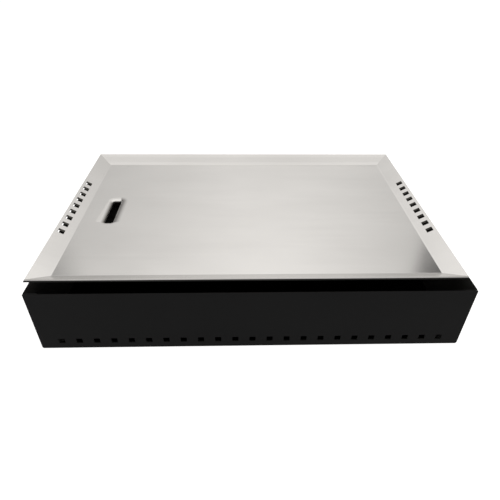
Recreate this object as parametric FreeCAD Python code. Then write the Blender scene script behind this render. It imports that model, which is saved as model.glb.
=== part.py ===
import FreeCAD, Part
import math
import os

# Flat top griddle that stands over a range: a folded stainless plate on a black vented skirt.
# Millimetres. Origin at the centre of the footprint on the floor, +X right, +Y back, +Z up.
# LEFT, RIGHT, FRONT and REAR are the signs of the side or end that a piece belongs to.

os.makedirs("parts", exist_ok=True)

LEFT, RIGHT = -1, 1
FRONT, REAR = -1, 1
TOLERANCE = 0.001
UP = FreeCAD.Vector(0, 0, 1)
DOWN = FreeCAD.Vector(0, 0, -1)

# Skirt
SKIRT_WIDTH = 762.0
SKIRT_DEPTH = 533.4
SKIRT_WALL_HEIGHT = 128.0
SKIRT_SHEET = 1.9
FLOOR_GAP = 2.0              # lower edge of the skirt above the floor
END_FLANGE = 22.0            # side panels' folds behind the front and rear panels

# Square vents along the foot of the front and rear panels
PANEL_VENT = 11.0
PANEL_VENT_PITCH = 31.1
PANEL_VENT_HEIGHT = 16.5     # centre above the lower edge
PANEL_VENT_MARGIN = 35.0     # least distance from a vent's centre to the end of the panel

# Cooking plate: its size comes from the skirt and these margins
PLATE_SHEET = 4.8
PLATE_SIDE_MARGIN = 7.7
PLATE_END_MARGIN = 14.2
PLATE_SHIFT_X = -6.4         # the plate sits off centre on the skirt
PLATE_SHIFT_Y = -1.0
FLANGE_SLOPE = 33.5          # length up the slope, from the bend line to the rim
FLANGE_ANGLE = 30.0
BEND_RADIUS = 4.0

# Square vents in the plate's side flanges
PLATE_VENT = 12.2
PLATE_VENT_PITCH = 24.5
PLATE_VENT_COUNT = 9
PLATE_VENT_RISE = 21.5       # centre above the bend line, along the slope

# Drain slot and the spout welded under it
SLOT_WIDTH = 18.0
SLOT_LENGTH = 90.0
SLOT_CORNER = 5.0
SLOT_INSET = 48.5            # from the flat's left bend line to the slot
SLOT_SHIFT_Y = -5.3          # from the middle of the plate
SLOT_EDGE_ROUND = 2.4
SPOUT_WALL = 1.5
SPOUT_DEPTH = 8.0

# Stiffener bars and locating pins under the plate
STIFFENER_THICKNESS = 5.0
STIFFENER_HEIGHT = 16.0
STIFFENER_PITCH = 105.0
STIFFENER_END_INSET = 22.0
PIN_DIAMETER = 8.0
PIN_LENGTH = 12.0
PIN_POINT = 2.0
PIN_INSET = 62.0             # from the flat's side bend lines
PIN_HOLE_CLEARANCE = 0.5     # radial

# Cross rails that carry the plate
RAIL_WIDTH = 20.0
RAIL_HEIGHT = 20.0
RAIL_SHEET = 2.5
RAIL_INSET = 15.0            # from the flat's front or rear bend line
RAIL_DROP = 1.8              # rail tops below the skirt's top edge
RAIL_TAB = 36.0              # end tab, beyond the rail's width

# M5 weld studs and flange nuts
STUD_DIAMETER = 5.0
STUD_TAIL = 2.0
STUD_HOLE_CLEARANCE = 0.3
THREAD_CLEARANCE = 0.05
NUT_ACROSS_FLATS = 8.0
NUT_HEIGHT = 4.7
NUT_FLANGE_DIAMETER = 11.4
NUT_FLANGE_THICKNESS = 1.1
CORNER_STUD_LOW = 70.0       # above the skirt's lower edge
CORNER_STUD_HIGH = 112.0
RAIL_STUD_SPACING = 17.0
RAIL_STUD_EDGE = 8.5

# Grease drawer
TRAY_SHEET = 1.2
TRAY_HEIGHT = 36.0
TRAY_CATCH = 16.0            # tray beyond the slot on each side and behind
TRAY_ROUND = 4.0
DRIP_GAP = 15.0              # from the spout to the tray's rim
FACE_SHEET = 1.6
FACE_OVERLAP = 2.0           # drawer front beyond the tray's sides and below it
FACE_ABOVE = 4.0             # drawer front above the tray's rim
FACE_GAP = 0.8               # visible gap around the drawer front
GRIP_DEPTH = 15.0            # finger space between the drawer front and the tray
GRIP_WIDTH = 64.0
GRIP_HEIGHT = 16.0
GRIP_CORNER = 7.5
SEAT_GAP = 0.3

# Drawer cradle
CRADLE_SHEET = 1.5
CRADLE_SIDE_GAP = 0.5
CRADLE_LIP = 7.0
CRADLE_FLANGE = 18.0
CRADLE_STOP = 10.0

# Levelling feet
BRACKET_SHEET = 3.0
BRACKET_SIZE = 46.0
BRACKET_HEIGHT = 26.0
BRACKET_LEVEL = 32.0         # shelf's lower face above the skirt's lower edge
BRACKET_STUD_SPACING = 24.0
BRACKET_STUD_LEVEL = 16.0    # above the shelf's lower face
FOOT_INSET = 25.0            # foot axis from the panels' inner faces
FOOT_DIAMETER = 8.0
FOOT_HOLE_CLEARANCE = 0.5    # radial, in the bracket's shelf
FOOT_RUNNING_GAP = 0.08      # radial, in the nut and in the pad
FOOT_THREAD_TAIL = 12.0
FOOT_NUT_FLATS = 13.0
FOOT_NUT_HEIGHT = 6.5
PAD_DIAMETER = 26.0
PAD_TOP_DIAMETER = 19.0
PAD_HEIGHT = 8.0
PAD_SOCKET = 5.0
PAD_LIP = 1.5                # straight rim at the pad's foot
COLLAR_HEIGHT = 5.0          # hexagon that turns the foot

# Planes and lines worked out from the sizes
HALF_WIDTH = SKIRT_WIDTH / 2
HALF_DEPTH = SKIRT_DEPTH / 2
INNER_WIDTH = HALF_WIDTH - SKIRT_SHEET       # inner faces of the side panels
INNER_DEPTH = HALF_DEPTH - SKIRT_SHEET       # inner faces of the front and rear panels
FLANGE_DEPTH = INNER_DEPTH - SKIRT_SHEET     # inner faces of the side panels' end folds
SKIRT_TOP = FLOOR_GAP + SKIRT_WALL_HEIGHT
VENT_LEVEL = FLOOR_GAP + PANEL_VENT_HEIGHT

SLOPE = math.radians(FLANGE_ANGLE)
FLANGE_RUN = FLANGE_SLOPE * math.cos(SLOPE)
FLANGE_RISE = FLANGE_SLOPE * math.sin(SLOPE)
RIM_RUN = PLATE_SHEET * math.sin(SLOPE)
FLAT_UNDERSIDE = SKIRT_TOP - RAIL_DROP
FLAT_TOP = FLAT_UNDERSIDE + PLATE_SHEET
FLAT_HALF_WIDTH = HALF_WIDTH - PLATE_SIDE_MARGIN - FLANGE_RUN - RIM_RUN
FLAT_HALF_DEPTH = HALF_DEPTH - PLATE_END_MARGIN - FLANGE_RUN - RIM_RUN
FLAT_LEFT = PLATE_SHIFT_X - FLAT_HALF_WIDTH
FLAT_RIGHT = PLATE_SHIFT_X + FLAT_HALF_WIDTH

SLOT_LEFT = FLAT_LEFT + SLOT_INSET
SLOT_RIGHT = SLOT_LEFT + SLOT_WIDTH
SLOT_X = (SLOT_LEFT + SLOT_RIGHT) / 2
SLOT_Y = PLATE_SHIFT_Y + SLOT_SHIFT_Y

TRAY_TOP = FLAT_UNDERSIDE - SPOUT_DEPTH - DRIP_GAP
TRAY_BOTTOM = TRAY_TOP - TRAY_HEIGHT
TRAY_HALF_WIDTH = SLOT_LENGTH / 2 + TRAY_CATCH
FACE_BACK = -HALF_WIDTH + FACE_SHEET
TRAY_FRONT = FACE_BACK + GRIP_DEPTH
TRAY_BACK = SLOT_RIGHT + TRAY_CATCH
FACE_HALF_WIDTH = TRAY_HALF_WIDTH + FACE_OVERLAP
FACE_BOTTOM = TRAY_BOTTOM - FACE_OVERLAP
FACE_TOP = TRAY_TOP + FACE_ABOVE
CRADLE_FLOOR = TRAY_BOTTOM - SEAT_GAP
CRADLE_ROOF = TRAY_TOP + SEAT_GAP
CRADLE_INNER = TRAY_HALF_WIDTH + CRADLE_SIDE_GAP
CRADLE_OUTER = CRADLE_INNER + CRADLE_SHEET
CRADLE_BACK = TRAY_BACK + SEAT_GAP

SHELF_BOTTOM = FLOOR_GAP + BRACKET_LEVEL
SHELF_TOP = SHELF_BOTTOM + BRACKET_SHEET
FOOT_X = INNER_WIDTH - FOOT_INSET
FOOT_Y = INNER_DEPTH - FOOT_INSET


def span_box(x_span, y_span, z_span):
    """A box from three pairs of limits, each in either order."""
    lows = [min(span) for span in (x_span, y_span, z_span)]
    sizes = [max(span) - min(span) for span in (x_span, y_span, z_span)]
    return Part.makeBox(*sizes, FreeCAD.Vector(*lows))


def cylinder(seat, direction, length, diameter):
    return Part.makeCylinder(diameter / 2, length, seat, direction)


def hexagon(seat, direction, height, across_flats):
    """A hexagonal prism that stands on seat along direction."""
    radius = across_flats / math.sqrt(3)
    turns = [math.radians(60 * step) for step in range(7)]
    corners = [FreeCAD.Vector(radius * math.cos(turn), radius * math.sin(turn), 0) for turn in turns]
    prism = Part.Face(Part.makePolygon(corners)).extrude(UP * height)
    prism.Placement = FreeCAD.Placement(seat, FreeCAD.Rotation(UP, direction))
    return prism


def rounded_prism(centre_x, centre_y, half_x, half_y, corner, z_low, z_high):
    """An upright prism on a rectangle with rounded corners."""
    prism = span_box((centre_x - half_x, centre_x + half_x), (centre_y - half_y, centre_y + half_y),
                     (z_low, z_high))
    upright = [edge for edge in prism.Edges if abs(edge.tangentAt(edge.FirstParameter).z) > 0.5]
    return prism.makeFillet(corner, upright)


def stud_and_nut(seat, inward, grip):
    """A weld stud on a panel's inner face and the flange nut that holds grip millimetres of sheet on it."""
    stud = cylinder(seat, inward, grip + NUT_HEIGHT + STUD_TAIL, STUD_DIAMETER)
    nut_seat = seat + inward * grip
    nut = hexagon(nut_seat, inward, NUT_HEIGHT, NUT_ACROSS_FLATS)
    nut = nut.fuse(cylinder(nut_seat, inward, NUT_FLANGE_THICKNESS, NUT_FLANGE_DIAMETER))
    bore = cylinder(nut_seat, inward, NUT_HEIGHT, STUD_DIAMETER + 2 * THREAD_CLEARANCE)
    return stud, nut.cut(bore)


def stud_hole(seat, inward, depth):
    return cylinder(seat, inward, depth, STUD_DIAMETER + 2 * STUD_HOLE_CLEARANCE)


def save(name, solids):
    shape = solids[0] if len(solids) == 1 else Part.makeCompound(solids)
    shape.exportStep("parts/" + name + ".step")


def row(count, pitch):
    """Places of a centred row."""
    return [(index - (count - 1) / 2) * pitch for index in range(count)]


def vent_row():
    """Places of the vents along the front and rear panels, as many as the margins leave room for."""
    count = int((SKIRT_WIDTH - 2 * PANEL_VENT_MARGIN) / PANEL_VENT_PITCH) + 1
    return row(count, PANEL_VENT_PITCH)


# ---- Where the studs stand: (seat on the panel's inner face, direction, sheet held)

def corner_studs():
    """Two studs at each end of the front and rear panels, through the side panels' folds."""
    places = []
    for end in (FRONT, REAR):
        for side in (LEFT, RIGHT):
            x = side * (INNER_WIDTH - END_FLANGE / 2)
            for level in (CORNER_STUD_LOW, CORNER_STUD_HIGH):
                seat = FreeCAD.Vector(x, end * INNER_DEPTH, FLOOR_GAP + level)
                places.append((seat, FreeCAD.Vector(0, -end, 0), SKIRT_SHEET))
    return places


def rail_outer_y(end):
    """The cross rail's face nearer to the front or rear panel."""
    return PLATE_SHIFT_Y + end * (FLAT_HALF_DEPTH - RAIL_INSET)


def rail_studs(end):
    """Two studs on each side panel that hold one cross rail's end tabs."""
    places = []
    for side in (LEFT, RIGHT):
        for step in range(2):
            y = rail_outer_y(end) - end * (RAIL_WIDTH + RAIL_STUD_EDGE + step * RAIL_STUD_SPACING)
            seat = FreeCAD.Vector(side * INNER_WIDTH, y, FLAT_UNDERSIDE - RAIL_HEIGHT / 2)
            places.append((seat, FreeCAD.Vector(-side, 0, 0), RAIL_SHEET))
    return places


def bracket_studs(side, end):
    """Two studs on a side panel that hold one foot bracket."""
    places = []
    for offset in row(2, BRACKET_STUD_SPACING):
        y = end * (FLANGE_DEPTH - BRACKET_SIZE / 2 + offset)
        seat = FreeCAD.Vector(side * INNER_WIDTH, y, SHELF_BOTTOM + BRACKET_STUD_LEVEL)
        places.append((seat, FreeCAD.Vector(-side, 0, 0), BRACKET_SHEET))
    return places


def cradle_studs():
    """Four studs on the left panel, two on each side of the drawer."""
    places = []
    for edge in (FRONT, REAR):
        y = SLOT_Y + edge * (CRADLE_OUTER + CRADLE_FLANGE / 2)
        for level in row(2, TRAY_HEIGHT / 2):
            seat = FreeCAD.Vector(-INNER_WIDTH, y, (CRADLE_FLOOR + CRADLE_ROOF) / 2 + level)
            places.append((seat, FreeCAD.Vector(1, 0, 0), CRADLE_SHEET))
    return places


def save_fasteners(stud_name, nut_name, places):
    pairs = [stud_and_nut(*place) for place in places]
    save(stud_name, [stud for stud, nut in pairs])
    save(nut_name, [nut for stud, nut in pairs])


# ---- Skirt panels

def end_panel(end):
    """The front or rear panel: a flat sheet over the full width."""
    panel = span_box((-HALF_WIDTH, HALF_WIDTH), (end * INNER_DEPTH, end * HALF_DEPTH), (FLOOR_GAP, SKIRT_TOP))
    vents = [span_box((x - PANEL_VENT / 2, x + PANEL_VENT / 2), (end * INNER_DEPTH, end * HALF_DEPTH),
                      (VENT_LEVEL - PANEL_VENT / 2, VENT_LEVEL + PANEL_VENT / 2))
             for x in vent_row()]
    return panel.cut(vents)


def side_panel(side):
    """A side panel with a fold at each end that lies behind the front or rear panel."""
    wall = (side * INNER_WIDTH, side * HALF_WIDTH)
    fold = (side * INNER_WIDTH, side * (INNER_WIDTH - END_FLANGE))
    full_height = (FLOOR_GAP, SKIRT_TOP)
    folds = [span_box(fold, (end * FLANGE_DEPTH, end * INNER_DEPTH), full_height) for end in (FRONT, REAR)]
    panel = span_box(wall, (-INNER_DEPTH, INNER_DEPTH), full_height).fuse(folds).removeSplitter()
    holes = [stud_hole(seat, inward, SKIRT_SHEET) for seat, inward, grip in corner_studs()]
    return panel.cut(holes)


def drawer_opening():
    """The cut-out in the left panel around the drawer front."""
    return span_box((-HALF_WIDTH, -INNER_WIDTH),
                    (SLOT_Y - FACE_HALF_WIDTH - FACE_GAP, SLOT_Y + FACE_HALF_WIDTH + FACE_GAP),
                    (FACE_BOTTOM - FACE_GAP, FACE_TOP + FACE_GAP))


save("front_panel", [end_panel(FRONT)])
save("rear_panel", [end_panel(REAR)])
save("left_panel", [side_panel(LEFT).cut(drawer_opening())])
save("right_panel", [side_panel(RIGHT)])


# ---- Cross rails: channels open downwards, with a tab at each end that lies on the side panel

def cross_rail(end):
    outer = rail_outer_y(end)
    inner = outer - end * RAIL_WIDTH
    level = (FLAT_UNDERSIDE - RAIL_HEIGHT, FLAT_UNDERSIDE)
    rail = span_box((-INNER_WIDTH, INNER_WIDTH), (outer, inner), level)
    hollow = span_box((-INNER_WIDTH + RAIL_SHEET, INNER_WIDTH - RAIL_SHEET),
                      (outer - end * RAIL_SHEET, inner + end * RAIL_SHEET),
                      (FLAT_UNDERSIDE - RAIL_HEIGHT, FLAT_UNDERSIDE - RAIL_SHEET))
    tab_depth = (inner, inner - end * RAIL_TAB)
    tabs = [span_box((side * (INNER_WIDTH - RAIL_SHEET), side * INNER_WIDTH), tab_depth, level)
            for side in (LEFT, RIGHT)]
    holes = [stud_hole(seat, inward, RAIL_SHEET) for seat, inward, grip in rail_studs(end)]
    for side in (LEFT, RIGHT):
        holes.append(cylinder(pin_seat(side, end), DOWN, RAIL_SHEET, PIN_DIAMETER + 2 * PIN_HOLE_CLEARANCE))
    return rail.cut(hollow).fuse(tabs).removeSplitter().cut(holes)


def pin_seat(side, end):
    """Where a locating pin stands on the plate's underside, over the middle of a rail."""
    x = PLATE_SHIFT_X + side * (FLAT_HALF_WIDTH - PIN_INSET)
    y = rail_outer_y(end) - end * RAIL_WIDTH / 2
    return FreeCAD.Vector(x, y, FLAT_UNDERSIDE)


save("cross_rail_front", [cross_rail(FRONT)])
save("cross_rail_rear", [cross_rail(REAR)])
save_fasteners("corner_studs", "corner_nuts", corner_studs())
save_fasteners("rail_studs", "rail_nuts", rail_studs(FRONT) + rail_studs(REAR))


# ---- Cooking plate: a flat, four folded flanges that meet at mitres, side vents and the drain slot

def flange(outward, bend_reach, bend_half_length):
    """One flange with its bend and a short lead of flat, mitred at 45 degrees at both ends.

    outward points from the plate's middle to the rim, bend_reach is the bend line's distance from
    the middle and bend_half_length is half the bend line's length.
    """
    along = UP.cross(outward)
    centre = FreeCAD.Vector(PLATE_SHIFT_X, PLATE_SHIFT_Y, FLAT_TOP)

    def point(run, rise, along_shift=0.0):
        return centre + outward * (bend_reach + run) + UP * rise + along * along_shift

    tangent = BEND_RADIUS * math.tan(SLOPE / 2)
    outer_radius = BEND_RADIUS + PLATE_SHEET
    slope_run, slope_rise = math.cos(SLOPE), math.sin(SLOPE)

    def on_bend(radius, angle):
        return point(-tangent + radius * math.sin(angle), BEND_RADIUS - radius * math.cos(angle))

    top_rim = point(FLANGE_RUN, FLANGE_RISE)
    low_rim = point(FLANGE_RUN + PLATE_SHEET * slope_rise, FLANGE_RISE - PLATE_SHEET * slope_run)
    lead_top = point(-FLANGE_RUN, 0)
    lead_low = point(-FLANGE_RUN, -PLATE_SHEET)
    inner_bend = [on_bend(BEND_RADIUS, SLOPE * share) for share in (0, 0.5, 1)]
    outer_bend = [on_bend(outer_radius, SLOPE * share) for share in (1, 0.5, 0)]
    section = Part.Wire([
        Part.LineSegment(lead_top, inner_bend[0]).toShape(),
        Part.Arc(*inner_bend).toShape(),
        Part.LineSegment(inner_bend[2], top_rim).toShape(),
        Part.LineSegment(top_rim, low_rim).toShape(),
        Part.LineSegment(low_rim, outer_bend[0]).toShape(),
        Part.Arc(*outer_bend).toShape(),
        Part.LineSegment(outer_bend[2], lead_low).toShape(),
        Part.LineSegment(lead_low, lead_top).toShape(),
    ])
    reach = FLANGE_RUN + RIM_RUN
    half_length = bend_half_length + reach
    strip = Part.Face(section)
    strip.translate(along * -half_length)
    strip = strip.extrude(along * (2 * half_length))

    plan = [point(-FLANGE_RUN, -FLANGE_RISE, -(bend_half_length - FLANGE_RUN)),
            point(reach, -FLANGE_RISE, -half_length),
            point(reach, -FLANGE_RISE, half_length),
            point(-FLANGE_RUN, -FLANGE_RISE, bend_half_length - FLANGE_RUN)]
    mitre = Part.Face(Part.makePolygon(plan + plan[:1])).extrude(UP * (3 * FLANGE_RISE))
    return strip.common(mitre)


def flat_with_slot():
    """The plate's flat inside the flanges' leads, with the drain slot and its rounded upper edge."""
    half_width = FLAT_HALF_WIDTH - FLANGE_RUN
    half_depth = FLAT_HALF_DEPTH - FLANGE_RUN
    flat = span_box((PLATE_SHIFT_X - half_width, PLATE_SHIFT_X + half_width),
                    (PLATE_SHIFT_Y - half_depth, PLATE_SHIFT_Y + half_depth), (FLAT_UNDERSIDE, FLAT_TOP))
    slot = rounded_prism(SLOT_X, SLOT_Y, SLOT_WIDTH / 2, SLOT_LENGTH / 2, SLOT_CORNER,
                         FLAT_UNDERSIDE, FLAT_TOP)
    flat = flat.cut(slot)
    slot_mouth = [edge for edge in flat.Edges
                  if abs(edge.BoundBox.ZMin - FLAT_TOP) < TOLERANCE
                  and abs(edge.CenterOfMass.x - SLOT_X) < SLOT_WIDTH / 2 + TOLERANCE]
    return flat.makeFillet(SLOT_EDGE_ROUND, slot_mouth)


def flange_vents():
    """Tilted cutters for the square vents in the two side flanges."""
    depth = 3 * PLATE_SHEET
    cutters = []
    for side in (LEFT, RIGHT):
        x = PLATE_SHIFT_X + side * (FLAT_HALF_WIDTH + PLATE_VENT_RISE * math.cos(SLOPE))
        z = FLAT_TOP + PLATE_VENT_RISE * math.sin(SLOPE)
        for y in row(PLATE_VENT_COUNT, PLATE_VENT_PITCH):
            cutter = span_box((-PLATE_VENT / 2, PLATE_VENT / 2), (-PLATE_VENT / 2, PLATE_VENT / 2),
                              (-depth / 2, depth / 2))
            tilt = FreeCAD.Rotation(FreeCAD.Vector(0, 1, 0), -side * FLANGE_ANGLE)
            cutter.Placement = FreeCAD.Placement(FreeCAD.Vector(x, PLATE_SHIFT_Y + y, z), tilt)
            cutters.append(cutter)
    return cutters


def cooking_plate():
    flanges = []
    for sign in (-1, 1):
        flanges.append(flange(FreeCAD.Vector(sign, 0, 0), FLAT_HALF_WIDTH, FLAT_HALF_DEPTH))
        flanges.append(flange(FreeCAD.Vector(0, sign, 0), FLAT_HALF_DEPTH, FLAT_HALF_WIDTH))
    return flat_with_slot().fuse(flanges).removeSplitter().cut(flange_vents())


def drain_spout():
    """A rounded collar that carries the slot's walls down below the plate."""
    level = (FLAT_UNDERSIDE - SPOUT_DEPTH, FLAT_UNDERSIDE)
    outer = rounded_prism(SLOT_X, SLOT_Y, SLOT_WIDTH / 2 + SPOUT_WALL, SLOT_LENGTH / 2 + SPOUT_WALL,
                          SLOT_CORNER + SPOUT_WALL, *level)
    inner = rounded_prism(SLOT_X, SLOT_Y, SLOT_WIDTH / 2, SLOT_LENGTH / 2, SLOT_CORNER, *level)
    return outer.cut(inner)


def stiffener(place):
    """A flat bar on edge, welded along the plate's underside to the right of the slot."""
    y = PLATE_SHIFT_Y + place
    return span_box((SLOT_RIGHT + STIFFENER_END_INSET, FLAT_RIGHT - STIFFENER_END_INSET),
                    (y - STIFFENER_THICKNESS / 2, y + STIFFENER_THICKNESS / 2),
                    (FLAT_UNDERSIDE - STIFFENER_HEIGHT, FLAT_UNDERSIDE))


def locating_pin(side, end):
    seat = pin_seat(side, end)
    shank = cylinder(seat, DOWN, PIN_LENGTH - PIN_POINT, PIN_DIAMETER)
    point = Part.makeCone(PIN_DIAMETER / 2, PIN_DIAMETER / 2 - PIN_POINT, PIN_POINT,
                          seat + DOWN * (PIN_LENGTH - PIN_POINT), DOWN)
    return shank.fuse(point)


save("cooking_plate", [cooking_plate()])
save("drain_spout", [drain_spout()])
for name, place in zip(("front", "middle", "rear"), row(3, STIFFENER_PITCH)):
    save("stiffener_bar_" + name, [stiffener(place)])
save("locating_pins", [locating_pin(side, end) for side in (LEFT, RIGHT) for end in (FRONT, REAR)])


# ---- Grease drawer under the slot, and the cradle that it slides in

def drawer_tray():
    """An open tray with a finger space between its inner front wall and the drawer front."""
    sides = (SLOT_Y - TRAY_HALF_WIDTH, SLOT_Y + TRAY_HALF_WIDTH)
    tray = span_box((FACE_BACK, TRAY_BACK), sides, (TRAY_BOTTOM, TRAY_TOP))
    inner_half_width = TRAY_HALF_WIDTH - TRAY_SHEET
    well_front = TRAY_FRONT + TRAY_SHEET
    well_back = TRAY_BACK - TRAY_SHEET
    well = rounded_prism((well_front + well_back) / 2, SLOT_Y, (well_back - well_front) / 2, inner_half_width,
                         TRAY_ROUND, TRAY_BOTTOM + TRAY_SHEET, TRAY_TOP)
    finger_space = span_box((FACE_BACK, TRAY_FRONT), (SLOT_Y - inner_half_width, SLOT_Y + inner_half_width),
                            (TRAY_BOTTOM + TRAY_SHEET, TRAY_TOP))
    return tray.cut([well, finger_space])


def drawer_front():
    """The flush panel on the tray's front, with a finger slot."""
    front = span_box((-HALF_WIDTH, FACE_BACK), (SLOT_Y - FACE_HALF_WIDTH, SLOT_Y + FACE_HALF_WIDTH),
                     (FACE_BOTTOM, FACE_TOP))
    grip_level = (TRAY_BOTTOM + TRAY_TOP) / 2
    grip = span_box((-HALF_WIDTH, FACE_BACK), (SLOT_Y - GRIP_WIDTH / 2, SLOT_Y + GRIP_WIDTH / 2),
                    (grip_level - GRIP_HEIGHT / 2, grip_level + GRIP_HEIGHT / 2))
    through = [edge for edge in grip.Edges if abs(edge.tangentAt(edge.FirstParameter).x) > 0.5]
    return front.cut(grip.makeFillet(GRIP_CORNER, through))


def drawer_cradle():
    """Floor, walls, lips over the tray's rims, a stop behind it and flanges on the left panel."""
    length = (-INNER_WIDTH, CRADLE_BACK)
    width = (SLOT_Y - CRADLE_OUTER, SLOT_Y + CRADLE_OUTER)
    height = (CRADLE_FLOOR - CRADLE_SHEET, CRADLE_ROOF + CRADLE_SHEET)
    floor = span_box(length, width, (CRADLE_FLOOR - CRADLE_SHEET, CRADLE_FLOOR))
    stop = span_box((CRADLE_BACK, CRADLE_BACK + CRADLE_SHEET), width,
                    (CRADLE_FLOOR - CRADLE_SHEET, CRADLE_FLOOR + CRADLE_STOP))
    folds = [stop]
    for edge in (FRONT, REAR):
        inner = SLOT_Y + edge * CRADLE_INNER
        outer = SLOT_Y + edge * CRADLE_OUTER
        wall = span_box(length, (inner, outer), height)
        lip = span_box(length, (outer, outer - edge * CRADLE_LIP), (CRADLE_ROOF, CRADLE_ROOF + CRADLE_SHEET))
        flange_on_panel = span_box((-INNER_WIDTH, -INNER_WIDTH + CRADLE_SHEET),
                                   (outer, outer + edge * CRADLE_FLANGE), height)
        folds += [wall, lip, flange_on_panel]
    holes = [stud_hole(seat, inward, CRADLE_SHEET) for seat, inward, grip in cradle_studs()]
    return floor.fuse(folds).removeSplitter().cut(holes)


save("drawer_tray", [drawer_tray()])
save("drawer_front", [drawer_front()])
save("drawer_cradle", [drawer_cradle()])
save_fasteners("cradle_studs", "cradle_nuts", cradle_studs())


# ---- Levelling feet: a bracket, a weld nut, a threaded stud and a pad in each corner

def foot_bracket(side, end):
    """An angle: an upright on the side panel and a shelf that carries the weld nut."""
    y_span = (end * FLANGE_DEPTH, end * (FLANGE_DEPTH - BRACKET_SIZE))
    shelf = span_box((side * INNER_WIDTH, side * (INNER_WIDTH - BRACKET_SIZE)), y_span,
                     (SHELF_BOTTOM, SHELF_TOP))
    upright = span_box((side * INNER_WIDTH, side * (INNER_WIDTH - BRACKET_SHEET)), y_span,
                       (SHELF_BOTTOM, SHELF_BOTTOM + BRACKET_HEIGHT))
    foot_hole = cylinder(FreeCAD.Vector(side * FOOT_X, end * FOOT_Y, SHELF_BOTTOM), UP, BRACKET_SHEET,
                         FOOT_DIAMETER + 2 * FOOT_HOLE_CLEARANCE)
    holes = [stud_hole(seat, inward, BRACKET_SHEET) for seat, inward, grip in bracket_studs(side, end)]
    return shelf.fuse(upright).removeSplitter().cut(holes + [foot_hole])


def foot_nut(side, end):
    seat = FreeCAD.Vector(side * FOOT_X, end * FOOT_Y, SHELF_TOP)
    bore = cylinder(seat, UP, FOOT_NUT_HEIGHT, FOOT_DIAMETER + 2 * FOOT_RUNNING_GAP)
    return hexagon(seat, UP, FOOT_NUT_HEIGHT, FOOT_NUT_FLATS).cut(bore)


def foot_stud(side, end):
    """A threaded stud with a hexagon collar just above the pad."""
    base = FreeCAD.Vector(side * FOOT_X, end * FOOT_Y, PAD_HEIGHT - PAD_SOCKET + SEAT_GAP)
    top = SHELF_TOP + FOOT_NUT_HEIGHT + FOOT_THREAD_TAIL
    shank = cylinder(base, UP, top - base.z, FOOT_DIAMETER)
    collar_seat = FreeCAD.Vector(base.x, base.y, PAD_HEIGHT + SEAT_GAP)
    return shank.fuse(hexagon(collar_seat, UP, COLLAR_HEIGHT, FOOT_NUT_FLATS))


def foot_pad(side, end):
    """A round pad that stands on the floor, with a blind socket for the stud."""
    base = FreeCAD.Vector(side * FOOT_X, end * FOOT_Y, 0)
    rim = cylinder(base, UP, PAD_LIP, PAD_DIAMETER)
    cone = Part.makeCone(PAD_DIAMETER / 2, PAD_TOP_DIAMETER / 2, PAD_HEIGHT - PAD_LIP,
                         base + UP * PAD_LIP, UP)
    socket = cylinder(base + UP * (PAD_HEIGHT - PAD_SOCKET), UP, PAD_SOCKET,
                      FOOT_DIAMETER + 2 * FOOT_RUNNING_GAP)
    return rim.fuse(cone).removeSplitter().cut(socket)


corner_names = {(LEFT, FRONT): "front_left", (RIGHT, FRONT): "front_right",
                (LEFT, REAR): "rear_left", (RIGHT, REAR): "rear_right"}
for corner, name in corner_names.items():
    save("foot_bracket_" + name, [foot_bracket(*corner)])
    save("foot_stud_" + name, [foot_stud(*corner)])
    save("foot_pad_" + name, [foot_pad(*corner)])
save("foot_nuts", [foot_nut(*corner) for corner in corner_names])
save_fasteners("bracket_studs", "bracket_nuts", sum((bracket_studs(*corner) for corner in corner_names), []))
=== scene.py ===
import math

import bpy
import numpy as np
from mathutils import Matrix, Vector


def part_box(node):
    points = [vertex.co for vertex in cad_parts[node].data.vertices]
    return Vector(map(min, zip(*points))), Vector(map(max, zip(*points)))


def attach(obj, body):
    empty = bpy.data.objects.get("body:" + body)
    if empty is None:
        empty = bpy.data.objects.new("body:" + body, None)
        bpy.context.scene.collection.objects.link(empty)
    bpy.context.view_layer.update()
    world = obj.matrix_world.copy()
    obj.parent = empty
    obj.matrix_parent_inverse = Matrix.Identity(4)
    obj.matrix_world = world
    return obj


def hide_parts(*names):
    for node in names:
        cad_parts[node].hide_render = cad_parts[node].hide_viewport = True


# Flat top griddle: a folded stainless plate on a black vented skirt, built piece by piece around the frame.
# Metres throughout, +X right, +Y back, +Z up. Boxes of the frame's nodes give every place.
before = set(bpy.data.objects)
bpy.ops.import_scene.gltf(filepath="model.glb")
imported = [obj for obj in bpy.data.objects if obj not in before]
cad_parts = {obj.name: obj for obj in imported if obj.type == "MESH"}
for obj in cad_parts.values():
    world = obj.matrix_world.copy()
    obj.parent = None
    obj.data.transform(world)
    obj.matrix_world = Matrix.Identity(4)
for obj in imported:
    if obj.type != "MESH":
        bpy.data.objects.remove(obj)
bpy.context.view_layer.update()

# ---- Skirt panels
# Four sheets of 1.9 mm steel, powder coated black; the front and the rear one have a row of punched square
# vents along the foot. The sides are folded in behind them, where weld studs and nuts hold the folds.
PANEL_FOLD_RADIUS = 0.0012
PANEL_VENT = 0.011
PANEL_VENT_PITCH = 0.0311
PANEL_VENT_LEVEL = 0.0165  # centre above the panel's lower edge
PANEL_VENT_COUNT = 23
DRAWER_GAP = 0.0008  # round the drawer front
FOLD_STEP = math.radians(15)  # greatest turn from one row of faces to the next
SHEET_ROUNDING = 0.0003  # radius that finishes a sheet's edges
COAT_COLOUR = (0.0078, 0.0078, 0.0079, 1)
COAT_DRIFT = 1.35  # how much lighter the coat is in places
# Painted highlight along the panels' top edge, where light from above falls on it.
TOP_EDGE_HIGHLIGHT = (0.018, 0.018, 0.018, 1)
TOP_EDGE_HIGHLIGHT_DEPTH = 0.0006  # below the top edge
# Painted light: the coat inside the skirt is greyer, for the light on the inner faces.
INNER_PAINTED_LIGHT = (0.060, 0.058, 0.055, 1)
INNER_LIGHT_FADE = (0.0002, 0.0008)  # into the sheet from its inner face

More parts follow.
